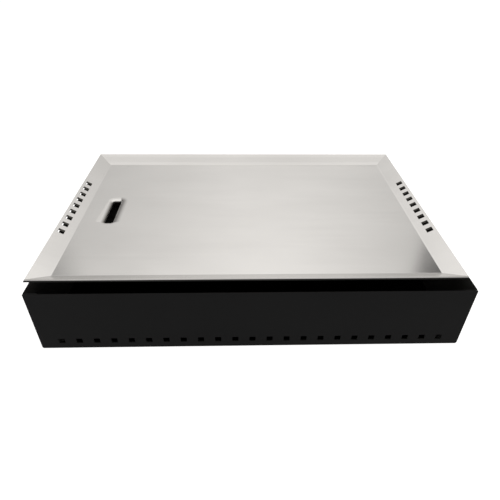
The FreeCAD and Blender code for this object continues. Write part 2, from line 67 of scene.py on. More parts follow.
front_low, front_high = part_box("front_panel")
half_width, half_depth = front_high.x, -front_low.y
panel_ends = front_low.z, front_high.z
panel_sheet = front_high.y - front_low.y
inner_width, inner_depth = half_width - panel_sheet, half_depth - panel_sheet
panel_axes = ((1, 0, 0), (0, 1, 0), (0, 0, 1))


def fold_section(corners, radius, sheet):
    """Line of a folded sheet's outer face: straight runs between the corners, and an arc at each fold.

    The sheet lies on the left of the line. The arc of a right turn has the radius, and that of a left
    turn is a sheet wider. Returns the distance along the line, its points and its left-hand normals.
    """
    corners = np.array(corners, float)
    ways = np.diff(corners, axis=0)
    ways = np.pad(ways / np.linalg.norm(ways, axis=1)[:, None], ((1, 1), (0, 0)), "edge")
    points, normals = [], []
    for corner, before, after in zip(corners, ways[:-1], ways[1:]):
        turn = math.atan2(before[0] * after[1] - before[1] * after[0], before @ after)
        bend = math.copysign(radius + sheet if turn > 0 else radius, turn)
        centre = corner - before * bend * math.tan(turn / 2) + bend * np.array([-before[1], before[0]])
        steps = 1 + math.ceil(abs(turn) / FOLD_STEP)
        heading = math.atan2(before[1], before[0]) + np.linspace(0, turn, steps)
        left = np.stack([-np.sin(heading), np.cos(heading)], 1)
        points.extend(centre - bend * left)
        normals.extend(left)
    steps = np.linalg.norm(np.diff(points, axis=0), axis=1)
    return np.append(0, np.cumsum(steps)), np.array(points), np.array(normals)


def grid_lines(marks, widest=0.04):
    """Sorted lines through every mark, with the runs between them divided evenly to at most widest."""
    marks = np.array(sorted(marks))
    marks = marks[np.concatenate([[True], np.diff(marks) > 1e-6])]
    runs = [np.linspace(a, b, 1 + math.ceil((b - a) / widest))[:-1] for a, b in zip(marks[:-1], marks[1:])]
    return np.concatenate([*runs, marks[-1:]])


def bent_grids(section, u, v, sheet, axes):
    """Outer and inner points of a folded sheet: u runs along the section, v along the third axis."""
    distance, *lines = section
    axes = np.array(axes, float)
    outer, inward = (sum(np.interp(u, distance, line[:, k])[..., None] * axes[k] for k in (0, 1))
                     for line in lines)
    outer = outer + v[..., None] * axes[2]
    return outer, outer + sheet * inward


def sheet_shape(outer, inner, filled, creases=None):
    """A closed sheet between two grids of points, each (rows, columns, xyz).

    Every filled cell has a face on both grids, and every side of it that meets an open cell or the
    border has a wall between them. A crease of 1 or -1 folds its cell along one or the other diagonal.
    The last group of faces is the walls round the openings.
    """
    count = outer[..., 0].size
    number = np.arange(count).reshape(outer.shape[:2])
    i, j = np.nonzero(filled)
    cells = np.stack([number[i, j], number[i + 1, j], number[i + 1, j + 1], number[i, j + 1]], 1)
    crease = np.zeros(len(i)) if creases is None else creases[i, j]
    flat, rising, falling = cells[crease == 0], cells[crease > 0], cells[crease < 0]
    folded = np.concatenate([rising[:, [0, 1, 2]], rising[:, [0, 2, 3]],
                             falling[:, [0, 1, 3]], falling[:, [1, 2, 3]]])
    around = np.pad(filled, 1)
    within = np.pad(np.ones_like(filled), 1)
    rim_walls, opening_walls = [], []
    for side, (step_i, step_j) in enumerate([(0, -1), (1, 0), (0, 1), (-1, 0)]):
        beside = i + 1 + step_i, j + 1 + step_j
        for walls, bare in ((rim_walls, ~within[beside]), (opening_walls, within[beside] & ~around[beside])):
            start, end = cells[bare, side], cells[bare, (side + 1) % 4]
            walls.append(np.stack([end, start, start + count, end + count], 1))
    faces = [flat, folded, flat[:, ::-1] + count, folded[:, ::-1] + count, *rim_walls,
             np.concatenate(opening_walls)]
    return np.concatenate([outer.reshape(-1, 3), inner.reshape(-1, 3)]), faces


def folded_shape(section, ends, sheet, axes, gaps=(), widest=0.04):
    """A folded sheet from end to end. Gaps are openings, from low to high along the section and across.

    widest is that of a row of faces along the section.
    """
    gaps = np.array(gaps).reshape(-1, 4)
    u_lines = grid_lines([*section[0], *gaps[:, :2].flat], widest)
    v_lines = grid_lines([*ends, *gaps[:, 2:].flat])
    u, v = (u_lines[:-1] + u_lines[1:]) / 2, (v_lines[:-1] + v_lines[1:]) / 2
    filled = np.ones((len(u), len(v)), bool)
    for u_low, u_high, v_low, v_high in gaps:
        filled[np.ix_((u > u_low) & (u < u_high), (v > v_low) & (v < v_high))] = False
    grids = bent_grids(section, *np.meshgrid(u_lines, v_lines, indexing="ij"), sheet, axes)
    return sheet_shape(*grids, filled)


def make_piece(name, shapes, material, body, node=None, rounding=0.0, grain=None, cut_material=None):
    """One object from shapes, each its points and groups of faces, that rides on a body.

    node is the frame's node that it stands for. rounding is the radius that finishes every edge sharper
    than 35 degrees. grain holds a place on the unfolded sheet for each point, kept as the piece's own
    map. cut_material is that of the last group.
    """
    starts = np.cumsum([0] + [len(points) for points, faces in shapes])
    points = np.concatenate([points for points, faces in shapes])
    groups = [start + group for start, (_, faces) in zip(starts, shapes) for group in faces if len(group)]
    corners = np.concatenate([group.ravel() for group in groups])
    used = np.unique(corners)
    faces = [face for group in groups for face in np.searchsorted(used, group).tolist()]
    mesh = bpy.data.meshes.new(name)
    mesh.from_pydata(points[used], [], faces, shade_flat=False)
    if grain is not None:
        mesh.uv_layers.new(name="grain").data.foreach_set("uv", grain[corners].ravel())
    mesh.materials.append(material)
    if cut_material:
        mesh.materials.append(cut_material)
        last = np.arange(len(faces)) >= len(faces) - len(groups[-1])
        mesh.polygons.foreach_set("material_index", last.astype(int))
    piece = bpy.data.objects.new(name, mesh)
    bpy.context.scene.collection.objects.link(piece)
    if rounding:
        bevel = piece.modifiers.new("rounded edges", "BEVEL")
        bevel.width = rounding
        bevel.segments = 2
        bevel.limit_method = "ANGLE"
        bevel.angle_limit = math.radians(35)
        bevel.use_clamp_overlap = False
        bevel.harden_normals = True
    else:
        mesh.set_sharp_from_angle(angle=math.radians(40))
    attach(piece, body)
    if node:
        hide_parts(node)


class Finish:
    """A material in the making: its shader, and the nodes of the patterns that feed it.

    A value is a number, a colour or another node's output.
    """

    def __init__(self, name):
        self.material = bpy.data.materials.new(name)
        self.material.use_nodes = True

    def feed(self, node, inputs):
        """Sets a node's sockets to values."""
        for key, value in inputs.items():
            if isinstance(value, bpy.types.NodeSocket):
                self.material.node_tree.links.new(value, node.inputs[key])
            else:
                node.inputs[key].default_value = value

    def node(self, kind, inputs, **settings):
        """A node with its sockets' values and its settings."""
        node = self.material.node_tree.nodes.new("ShaderNode" + kind)
        for key, value in settings.items():
            setattr(node, key, value)
        self.feed(node, inputs)
        return node

    def place(self):
        """The piece's own coordinates."""
        return self.node("TexCoord", {}).outputs["Object"]

    def sides(self):
        """X, Y and Z of the place."""
        return self.node("SeparateXYZ", {0: self.place()}).outputs

    def noise(self, scale, detail, stretch=(1, 1, 1), place=None, **settings):
        """Noise from 0 to 1 in the piece's own coordinates, or in another place, stretched."""
        drawn = self.node("Mapping", {"Vector": place or self.place(), "Scale": stretch}).outputs["Vector"]
        inputs = {"Vector": drawn, "Scale": scale, "Detail": detail}
        return self.node("TexNoise", inputs, **settings).outputs[0]

    def bump(self, height, strength, distance):
        """The normal of a surface with a height."""
        inputs = {"Height": height, "Strength": strength, "Distance": distance}
        return self.node("Bump", inputs).outputs["Normal"]

    def ramp(self, value, start, end, low=0.0, high=1.0, way="LINEAR"):
        """Goes from low to high while the value goes from start to end, and no further."""
        inputs = {"Value": value, "From Min": start, "From Max": end, "To Min": low, "To Max": high}
        return self.node("MapRange", inputs, interpolation_type=way).outputs["Result"]

    def spread(self, value, low, high):
        """Noise from 0 to 1 brought to low to high."""
        return self.ramp(value, 0.0, 1.0, low, high)

    def blend(self, share, first, second):
        """A colour between two, by share."""
        return self.node("Mix", {0: share, 6: first, 7: second}, data_type="RGBA").outputs[2]

    def work_out(self, operation, first, *others):
        """The result of a calculation on the first value and each other in turn, or on it and 0."""
        for other in others or [0.0]:
            first = self.node("Math", {0: first, 1: other}, operation=operation).outputs[0]
        return first

    def product(self, *values):
        """All values multiplied."""
        return self.work_out("MULTIPLY", *values)

    def total(self, *values):
        """All values added up."""
        return self.work_out("ADD", *values)

    def together(self, *ramps):
        """The product of ramps, each given by its value and range."""
        return self.product(*(self.ramp(*ramp) for ramp in ramps))

    def within(self, ways, halves, fade):
        """1 where every way is less than its half, falling to 0 over the fade beyond it."""
        return self.together(*((way, half + fade[0], half + fade[1], 1.0, 0.0)
                               for way, half in zip(ways, halves)))

    def less(self, first, second):
        """The first value less the second."""
        return self.work_out("SUBTRACT", first, second)

    def size(self, value):
        """The value without its sign."""
        return self.work_out("ABSOLUTE", value)

    def surface(self, inputs):
        """Feeds the shader, and gives the finished material."""
        self.feed(self.material.node_tree.nodes["Principled BSDF"], inputs)
        return self.material


def powder_coat():
    """Satin black coat: a fine orange peel, a gloss that drifts a little, and a painted highlight that makes
    the top edge paler.

    Inside the skirt it is painted greyer: painted light on the inner faces.
    """
    coat = Finish("black powder coat")
    peel, drift = coat.noise(900.0, 2.0), coat.noise(9.0, 3.0)
    x, y, level = coat.sides()
    lighter = tuple(COAT_DRIFT * channel for channel in COAT_COLOUR[:3]) + (1.0,)
    # Painted light: greyer inside the skirt.
    inside = coat.within((coat.size(x), coat.size(y)), (inner_width, inner_depth), INNER_LIGHT_FADE)
    # Painted highlight: paler along the top edge.
    top_highlight = coat.ramp(level, panel_ends[1] - TOP_EDGE_HIGHLIGHT_DEPTH, panel_ends[1])
    colour = coat.blend(inside, coat.blend(drift, COAT_COLOUR, lighter), INNER_PAINTED_LIGHT)
    return coat.surface({
        "Base Color": coat.blend(top_highlight, colour, TOP_EDGE_HIGHLIGHT),
        "Roughness": coat.spread(drift, 0.42, 0.58),
        "Specular IOR Level": 0.02,
        "Normal": coat.bump(peel, 0.35, 0.00006),
    })


black_coat = powder_coat()


def coated_piece(node, body, shapes, rounding=SHEET_ROUNDING):
    """A powder coated piece that stands for a node."""
    make_piece("coated_" + node, shapes, black_coat, body, node, rounding)


def skirt_panel(node, corners, gaps=()):
    """A panel along a line of corners, with its gaps."""
    section = fold_section(corners, PANEL_FOLD_RADIUS, panel_sheet)
    coated_piece(node, "skirt", [folded_shape(section, panel_ends, panel_sheet, panel_axes, gaps)])


def even_row(middle, pitch, count):
    """Places in a row about its middle."""
    return middle + (np.arange(count) - (count - 1) / 2) * pitch


bottom = panel_ends[0] + PANEL_VENT_LEVEL - PANEL_VENT / 2
vents = [(place - PANEL_VENT / 2, place + PANEL_VENT / 2, bottom, bottom + PANEL_VENT)
         for place in even_row(half_width, PANEL_VENT_PITCH, PANEL_VENT_COUNT)]
for node, side in (("front_panel", -1), ("rear_panel", 1)):
    skirt_panel(node, side * np.array([(half_width, half_depth), (-half_width, half_depth)]), vents)

fold_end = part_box("left_panel")[1].x
side_line = np.array([(-fold_end, -inner_depth), (half_width, -inner_depth),
                      (half_width, inner_depth), (-fold_end, inner_depth)])
side_middle = fold_section(side_line, PANEL_FOLD_RADIUS, panel_sheet)[0][-1] / 2
skirt_panel("right_panel", side_line)
drawer_low, drawer_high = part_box("drawer_front")
drawer_opening = (side_middle - drawer_high.y - DRAWER_GAP, side_middle - drawer_low.y + DRAWER_GAP,
                  drawer_low.z - DRAWER_GAP, drawer_high.z + DRAWER_GAP)
skirt_panel("left_panel", -side_line, [drawer_opening])

# ---- Cross rails
# Two channels of 2.5 mm steel, open downwards, with a plate at each end that lies on the side panel.
# They carry the cooking plate, whose four pins drop into a round hole near each end of a rail.
RAIL_SHEET = 0.0025
RAIL_WIDTH = 0.020
RAIL_FOLD_RADIUS = 0.0015
PIN_HOLE_RADIUS = 0.0045
PIN_RADIUS = 0.004
HOLE_RINGS = (0, 0.001)  # rows of faces round a drilled hole, by their distance from its edge
HOLE_REACH = 0.0025
rail_axes = ((0, 1, 0), (0, 0, 1), (1, 0, 0))


def mouth_marks(middle, half, corner, reach, steps):
    """Lines across a mouth along one axis: the two ends of its straight side, and steps lines beyond each."""
    beyond = np.linspace(half - corner, half + reach, steps + 1)
    return np.concatenate([middle - beyond, middle + beyond])


def open_mouth(u, v, u_lines, v_lines, middle, half, corner, rings, corner_steps):
    """Bends a grid round a mouth with rounded corners, in place.

    Counted in lines from the mouth's straight sides, a point belongs to the ring that its greater count
    names. Each ring is the mouth's outline moved outwards by its distance in rings, and the corner
    points share out a quarter turn. Returns each point's ring number, below 0 inside the mouth and the
    number of rings beyond it, where the grid stays straight, and which cells lie outside the mouth.
    """
    counts, signs = [], []
    for lines, centre, size in ((u_lines, middle[0], half[0]), (v_lines, middle[1], half[1])):
        offset = lines - centre
        past = np.abs(offset) > size - corner + 1e-6
        counts.append(np.where(offset > 0, np.cumsum(past & (offset > 0)),
                               np.cumsum((past & (offset < 0))[::-1])[::-1]))
        signs.append(np.sign(offset))
    count_u, count_v = np.meshgrid(*counts, indexing="ij")
    sign_u, sign_v = np.meshgrid(*signs, indexing="ij")
    greater = np.maximum(count_u, count_v)
    ring = np.clip(greater - corner_steps, -1, len(rings))
    quarter = math.pi / 4 * np.minimum(count_u, count_v) / np.maximum(greater, 1)
    angle = np.where(count_u >= count_v, quarter, math.pi / 2 - quarter)
    radius = corner + np.append(rings, 0)[np.maximum(ring, 0)]
    inside = (ring < len(rings)) & (greater > 0)
    bend_u, bend_v = inside & (count_u > 0), inside & (count_v > 0)
    u[bend_u] = (middle[0] + sign_u * (half[0] - corner + radius * np.cos(angle)))[bend_u]
    v[bend_v] = (middle[1] + sign_v * (half[1] - corner + radius * np.sin(angle)))[bend_v]
    beyond = ring > 0
    return ring, beyond[:-1, :-1] | beyond[1:, :-1] | beyond[:-1, 1:] | beyond[1:, 1:]


def pierced_shape(section, ends, sheet, axes, middles, half, corner, rings, reach, corner_steps):
    """A folded sheet with a rounded mouth at each of the middles, which lie side by side across it."""
    steps = corner_steps + len(rings)
    marks = [[mark for middle in middles for mark in mouth_marks(middle[k], half[k], corner, reach, steps)]
             for k in (0, 1)]
    u_lines, v_lines = grid_lines([*section[0], *marks[0]]), grid_lines([*ends, *marks[1]])
    u, v = np.meshgrid(u_lines, v_lines, indexing="ij")
    filled = np.ones((len(u_lines) - 1, len(v_lines) - 1), bool)
    for middle in middles:
        near = np.flatnonzero(np.abs(v_lines - middle[1]) < half[1] + reach + 1e-6)
        near_u, near_v = u[:, near], v[:, near]
        _, filled[:, near[:-1]] = open_mouth(near_u, near_v, u_lines, v_lines[near], middle, half, corner,
                                             rings, corner_steps)
        u[:, near], v[:, near] = near_u, near_v
    return sheet_shape(*bent_grids(section, u, v, sheet, axes), filled)


def plain_plate(low, high):
    """A flat plate that fills a box, for a rounding to finish."""
    x, z = np.meshgrid([low[0], high[0]], [low[2], high[2]], indexing="ij")
    near, far = (np.stack([x, np.full((2, 2), y), z], -1) for y in (low[1], high[1]))
    return sheet_shape(near, far, np.ones((1, 1), bool))


pins_low, pins_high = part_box("locating_pins")
pin_places = (pins_low.x + PIN_RADIUS, pins_high.x - PIN_RADIUS)
for node in ("cross_rail_front", "cross_rail_rear"):
    low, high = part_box(node)
    y_low, y_high = (low.y, low.y + RAIL_WIDTH) if node.endswith("front") else (high.y - RAIL_WIDTH, high.y)
    channel = [(y_high, low.z), (y_high, high.z), (y_low, high.z), (y_low, low.z)]
    section = fold_section(channel, RAIL_FOLD_RADIUS, RAIL_SHEET)
    holes = [(section[0][-1] / 2, x) for x in pin_places]
    shapes = [pierced_shape(section, (low.x + RAIL_SHEET, high.x - RAIL_SHEET), RAIL_SHEET, rail_axes, holes,
                            (PIN_HOLE_RADIUS,) * 2, PIN_HOLE_RADIUS, HOLE_RINGS, HOLE_REACH, 3)]
    for x_low, x_high in ((low.x, low.x + RAIL_SHEET), (high.x - RAIL_SHEET, high.x)):
        shapes.append(plain_plate((x_low, low.y, low.z), (x_high, high.y, high.z)))
    coated_piece(node, "skirt", shapes)

# ---- Weld studs and flange nuts
# M5 steel with a black zinc plate: threaded studs welded to the panels' inner faces, each with a flange
# nut that holds a fold, a rail's end plate, the drawer's cradle or a foot bracket.
STUD_RADIUS = 0.0025
STUD_PITCH = 0.0008
STUD_TAIL = 0.002  # beyond the nut
THREAD_DEPTH = 0.6  # as a share of the pitch
THREAD_CLEARANCE = 0.00005
NUT_FLATS = 0.008
NUT_HEIGHT = 0.0047
NUT_FACE = 0.475  # radius of a nut's flat end, as a share of its width over flats
NUT_CONE = math.radians(30)
NUT_FLANGE_RADIUS = 0.0057
NUT_BORE_EDGE = 0.0004  # chamfer round the bore
RAIL_STUD_SPACING = 0.017
BRACKET_STUD_SPACING = 0.024
BRACKET_SHEET = 0.003
CRADLE_SHEET = 0.0015


def wrapped_shape(rings, joined=False):
    """A surface through closed rings of points (rings, points round, xyz), anticlockwise about its way.

    The last ring joins the first if joined, and otherwise both ends have a cap.
    """
    number = np.arange(rings[..., 0].size).reshape(rings.shape[:2])
    lower = number if joined else number[:-1]
    upper = np.roll(number, -1, 0) if joined else number[1:]
    sides = np.stack([lower, np.roll(lower, -1, 1), np.roll(upper, -1, 1), upper], -1).reshape(-1, 4)
    caps = [] if joined else [number[:1, ::-1], number[-1:]]
    return rings.reshape(-1, 3), [sides, *caps]


def turned_shape(seat, axis, radius, height, around, joined=False):
    """A surface through rings of radius and height, (rings, around) or (rings, 1), about an axis."""
    axis = np.array(axis, float)
    side = np.roll(np.abs(axis), 2)
    other = np.cross(axis, side)
    angle = np.arange(around) * math.tau / around
    radius, height = np.broadcast_arrays(radius + 0 * angle, height + 0 * angle)
    rings = (np.array(seat, float) + height[..., None] * axis
             + (radius * np.cos(angle))[..., None] * side + (radius * np.sin(angle))[..., None] * other)
    return wrapped_shape(rings, joined)


def threaded_rod(seat, axis, length, radius, pitch, around=20):
    """A rod whose radius falls from its crest by a blunt triangle wave of height / pitch - angle / turn,
    under a cone that chamfers each end."""
    height = np.linspace(0, length, 1 + round(6 * length / pitch))[:, None]
    wave = 2 * np.abs((height / pitch - np.arange(around) / around) % 1 - 0.5)
    depth = THREAD_DEPTH * pitch
    crest = radius - depth * np.clip(1.2 * wave - 0.1, 0, 1)
    chamfer = radius - depth + np.minimum(height, length - height)
    return turned_shape(seat, axis, np.minimum(crest, chamfer), height, around)


def hexagon_nut(seat, axis, flats, height, bore, flange=0.0):
    """A nut: the section of a bored hexagon with coned ends, on a thin round flange if it has one.

    At each angle the hexagon's radius is half its width over flats divided by the cosine of the angle
    to the nearest flat's middle.
    """
    around = 36
    angle = np.arange(around) * math.tau / around
    hexagon = flats / 2 / np.cos((angle + math.pi / 6) % (math.pi / 3) - math.pi / 6)
    face = NUT_FACE * flats
    drop = (hexagon - face) * math.tan(NUT_CONE)
    if flange:
        wide, thin, thick, edge = hexagon.max() + 0.0001, 0.0007, 0.0012, 0.0002
        foot = [(bore, 0), (flange - edge, 0), (flange, edge), (flange, thin), (wide, thick),
                (hexagon, thick)]
    else:
        foot = [(bore, 0), (face, 0), (hexagon, drop)]
    foot += [(hexagon, height - drop), (face, height), (bore + NUT_BORE_EDGE, height),
             (bore, height - NUT_BORE_EDGE)]
    radius, level = (np.stack([step[k] + 0 * angle for step in foot]) for k in (0, 1))
    return turned_shape(seat, axis, radius, level, around, joined=True)


def grained(name, grain, tones, roughness, relief, mottle=None, metallic=0.0, specular=0.5):
    """A material whose grain spreads its roughness and raises its relief, between two tones.

    The grain is noise, by its scale, detail and stretch. A mottle is other noise for the tones alone.
    """
    finish = Finish(name)
    grain = finish.noise(*grain)
    return finish.surface({
        "Base Color": finish.blend(finish.noise(*mottle) if mottle else grain, *tones),
        "Metallic": metallic,
        "Roughness": finish.spread(grain, *roughness),
        "Specular IOR Level": specular,
        "Normal": finish.bump(grain, *relief),
    })


def zinc_plate(name, tones, metallic):
    """Zinc plating: a faint mottle, and a gloss worn duller in patches."""
    return grained(name, (260.0, 4.0), tones, (0.28, 0.45), (0.25, 0.00008), metallic=metallic)


black_zinc = zinc_plate("black zinc plate", [(0.008, 0.008, 0.009, 1), (0.030, 0.030, 0.032, 1)], 0.5)


def studs_and_nuts(kind, places, grip):
    """The studs and nuts of one kind, each from its seat and inward way, over grip metres of sheet."""
    studs, nuts = [], []
    for seat, inward in places:
        studs.append(threaded_rod(seat, inward, grip + NUT_HEIGHT + STUD_TAIL, STUD_RADIUS, STUD_PITCH))
        nut_seat = np.array(seat) + grip * np.array(inward)
        nuts.append(hexagon_nut(nut_seat, inward, NUT_FLATS, NUT_HEIGHT, STUD_RADIUS + THREAD_CLEARANCE,
                                NUT_FLANGE_RADIUS))
    for word, shapes in (("studs", studs), ("nuts", nuts)):
        node = f"{kind}_{word}"
        make_piece("threaded_" + node, shapes, black_zinc, "skirt", node)


def stud_rows(kind, spacing=0.0):
    """The stud axes' rows in a node's box: the end rows in X, Y and Z, and rows set in by spacing in Y."""
    low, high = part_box(kind + "_studs")
    y_rows = [low.y + STUD_RADIUS, high.y - STUD_RADIUS]
    if spacing:
        y_rows += [y_rows[0] + spacing, y_rows[1] - spacing]
    return low, high, y_rows, [low.z + STUD_RADIUS, high.z - STUD_RADIUS]


low, high, _, levels = stud_rows("corner")
studs_and_nuts("corner", [((x, y, z), (0, inward, 0)) for x in (low.x + STUD_RADIUS, high.x - STUD_RADIUS)
                          for y, inward in ((low.y, 1), (high.y, -1)) for z in levels], panel_sheet)
for kind, spacing, grip in (("rail", RAIL_STUD_SPACING, RAIL_SHEET),
                            ("bracket", BRACKET_STUD_SPACING, BRACKET_SHEET)):
    low, high, y_rows, levels = stud_rows(kind, spacing)
    studs_and_nuts(kind, [((x, y, levels[0]), (inward, 0, 0)) for x, inward in ((low.x, 1), (high.x, -1))
                          for y in y_rows], grip)
low, high, y_rows, levels = stud_rows("cradle")
studs_and_nuts("cradle", [((low.x, y, z), (1, 0, 0)) for y in y_rows for z in levels], CRADLE_SHEET)

# ---- Drawer cradle
# One sheet of 1.5 mm steel folded to a trough with inturned lips over the drawer's rims, a stop welded
# behind it, and a flange on each side that the left panel's studs hold. Powder coated black.
CRADLE_FOLD_RADIUS = 0.001
CRADLE_LIP = 0.007
CRADLE_FLANGE = 0.018
CRADLE_STOP = 0.010

low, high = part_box("drawer_cradle")
wall_low, wall_high = low.y + CRADLE_FLANGE, high.y - CRADLE_FLANGE
front, stop = low.x + CRADLE_SHEET, high.x - CRADLE_SHEET
trough = [(wall_low + CRADLE_LIP, high.z), (wall_low, high.z), (wall_low, low.z),
          (wall_high, low.z), (wall_high, high.z), (wall_high - CRADLE_LIP, high.z)]
section = fold_section(trough, CRADLE_FOLD_RADIUS, CRADLE_SHEET)
coated_piece("drawer_cradle", "skirt", [
    folded_shape(section, (low.x, stop), CRADLE_SHEET, rail_axes, widest=1),
    plain_plate(low, (front, wall_low, high.z)),
    plain_plate((low.x, wall_high, low.z), (front, high.y, high.z)),
    plain_plate((stop, wall_low, low.z), (high.x, wall_high, low.z + CRADLE_SHEET + CRADLE_STOP)),
])

# ---- Grease drawer
# A pan of 1.2 mm steel with rounded corners and a short open trough in front of it for the fingers.
# Its front is a flush 1.6 mm panel with a finger slot, spot welded on. All powder coated black.
TRAY_SHEET = 0.0012
TRAY_FOLD = 0.0016  # radius on the outside
TRAY_OUTER_CORNER = 0.0016
TRAY_CORNER_FALL = 0.7  # how fast the outer corners tighten towards the floor
TRAY_INNER_CORNER = 0.004
TRAY_ROUNDING = 0.00025
GRIP_DEPTH = 0.015
GRIP_HALF = (0.032, 0.008)
GRIP_CORNER = 0.0075
GRIP_RINGS = (0, 0.0008, 0.002)
GRIP_REACH = 0.004
GRIP_ROUNDING = 0.0004


def loop_rings(low, high, profile, steps=6):
    """Rings of a rectangular wall: each step of its profile is an inset, a height and a corner radius.

    A ring goes anticlockwise, with a quarter circle of steps at each corner.
    """
    quarter = np.linspace(0, math.pi / 2, steps + 1)
    turns = np.concatenate([quarter + k * math.pi / 2 for k in range(4)])
    on_right, at_back = (np.repeat(ends, steps + 1) for ends in ((1, 0, 0, 1), (1, 1, 0, 0)))
    rings = []
    for inset, height, corner in profile:
        inset = inset + corner
        x = np.where(on_right, high[0] - inset, low[0] + inset) + corner * np.cos(turns)
        y = np.where(at_back, high[1] - inset, low[1] + inset) + corner * np.sin(turns)
        rings.append(np.column_stack([x, y, np.full(len(turns), height)]))
    return np.array(rings)


low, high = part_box("drawer_tray")
well_front = low.x + GRIP_DEPTH
turn = np.linspace(0, math.pi / 2, 5)
inset, rise = TRAY_FOLD * (1 - np.sin(turn)), low.z + TRAY_FOLD * (1 - np.cos(turn))
outside = np.column_stack([inset, rise, TRAY_OUTER_CORNER - TRAY_CORNER_FALL * inset])
inside = np.column_stack([TRAY_SHEET + inset, TRAY_SHEET + rise, TRAY_INNER_CORNER - inset])
rims = [(0, high.z, TRAY_OUTER_CORNER), (TRAY_SHEET, high.z, TRAY_INNER_CORNER)]
well = loop_rings((well_front, low.y), high, [*outside, *rims, *inside[::-1]])
trough = [(low.y, high.z), (low.y, low.z), (high.y, low.z), (high.y, high.z)]
section = fold_section(trough, TRAY_FOLD - TRAY_SHEET, TRAY_SHEET)
grip = folded_shape(section, (low.x, well_front + TRAY_SHEET), TRAY_SHEET, rail_axes, widest=1)
coated_piece("drawer_tray", "drawer", [wrapped_shape(well), grip], TRAY_ROUNDING)

low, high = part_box("drawer_front")
section = fold_section([(low.x, high.y), (low.x, low.y)], PANEL_FOLD_RADIUS, panel_sheet)
middle = ((high.y - low.y) / 2, (low.z + high.z) / 2)
face = pierced_shape(section, (low.z, high.z), high.x - low.x, panel_axes, [middle], GRIP_HALF, GRIP_CORNER,
                     GRIP_RINGS, GRIP_REACH, 4)
coated_piece("drawer_front", "drawer", [face], GRIP_ROUNDING)

# ---- Foot brackets and their weld nuts
# In each corner a 3 mm angle lies on the side panel, black like it. Its shelf has a clearance hole under
# a bright zinc plated M8 nut, welded on.
BRACKET_FOLD_RADIUS = 0.0015
BRACKET_ROUNDING = 0.0004
FOOT_HOLE_RADIUS = 0.0045
FOOT_HOLE_REACH = 0.003
FOOT_RADIUS = 0.004
FOOT_CLEARANCE = 0.00008
FOOT_NUT_FLATS = 0.013
FOOT_NUT_HEIGHT = 0.0065
corners = ("front_left", "front_right", "rear_left", "rear_right")
bracket_axes = ((0, 0, 1), (1, 0, 0), (0, 1, 0))
zinc = zinc_plate("bright zinc plate", [(0.50, 0.52, 0.55, 1), (0.70, 0.70, 0.68, 1)], 1.0)


def foot_place(corner):
    """The foot's place in plan."""
    low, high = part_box("foot_stud_" + corner)
    return (low.x + high.x) / 2, (low.y + high.y) / 2


nuts = []
for corner in corners:
    low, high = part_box("foot_bracket_" + corner)
    foot_x, foot_y = foot_place(corner)
    on_right = corner.endswith("right")
    line = [(high.z, high.x), (low.z, high.x), (low.z, low.x), (high.z, low.x)]
    section = fold_section(line[:3] if on_right else line[1:], BRACKET_FOLD_RADIUS, BRACKET_SHEET)
    hole = (section[0][-1] - (foot_x - low.x) if on_right else high.x - foot_x, foot_y)
    angle = pierced_shape(section, (low.y, high.y), BRACKET_SHEET, bracket_axes, [hole],
                          (FOOT_HOLE_RADIUS,) * 2, FOOT_HOLE_RADIUS, HOLE_RINGS, FOOT_HOLE_REACH, 4)
    coated_piece("foot_bracket_" + corner, "skirt", [angle], BRACKET_ROUNDING)
    nut_seat = (foot_x, foot_y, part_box("foot_nuts")[0].z)
    nuts.append(hexagon_nut(nut_seat, (0, 0, 1), FOOT_NUT_FLATS, FOOT_NUT_HEIGHT,
                            FOOT_RADIUS + FOOT_CLEARANCE))
make_piece("threaded_foot_nuts", nuts, zinc, "skirt", "foot_nuts")

# ---- Levelling feet
# Each foot is a zinc plated M8 stud with a hexagon collar to turn it by, and a moulded black rubber pad
# whose socket the stud turns in. The stud screws through the bracket's nut.
FOOT_PITCH = 0.00125
FOOT_COLLAR_LEVEL = 0.005  # above the stud's lower end
FOOT_COLLAR_HEIGHT = 0.005
PAD_LIP = 0.0015
PAD_EDGE = 0.0004
PAD_TREAD = 0.002  # width of the ring that the pad stands on
PAD_HOLLOW = 0.0006  # height of the underside within the ring
PAD_TAPER = 19 / 26  # the top's width as a share of the lip's
PAD_RIBS = 4
PAD_RIB_DEPTH = 0.00018  # half a groove's depth between the ribs
PAD_SOCKET = 0.005
PAD_MOUTH = 0.0005  # bevel at the socket's mouth

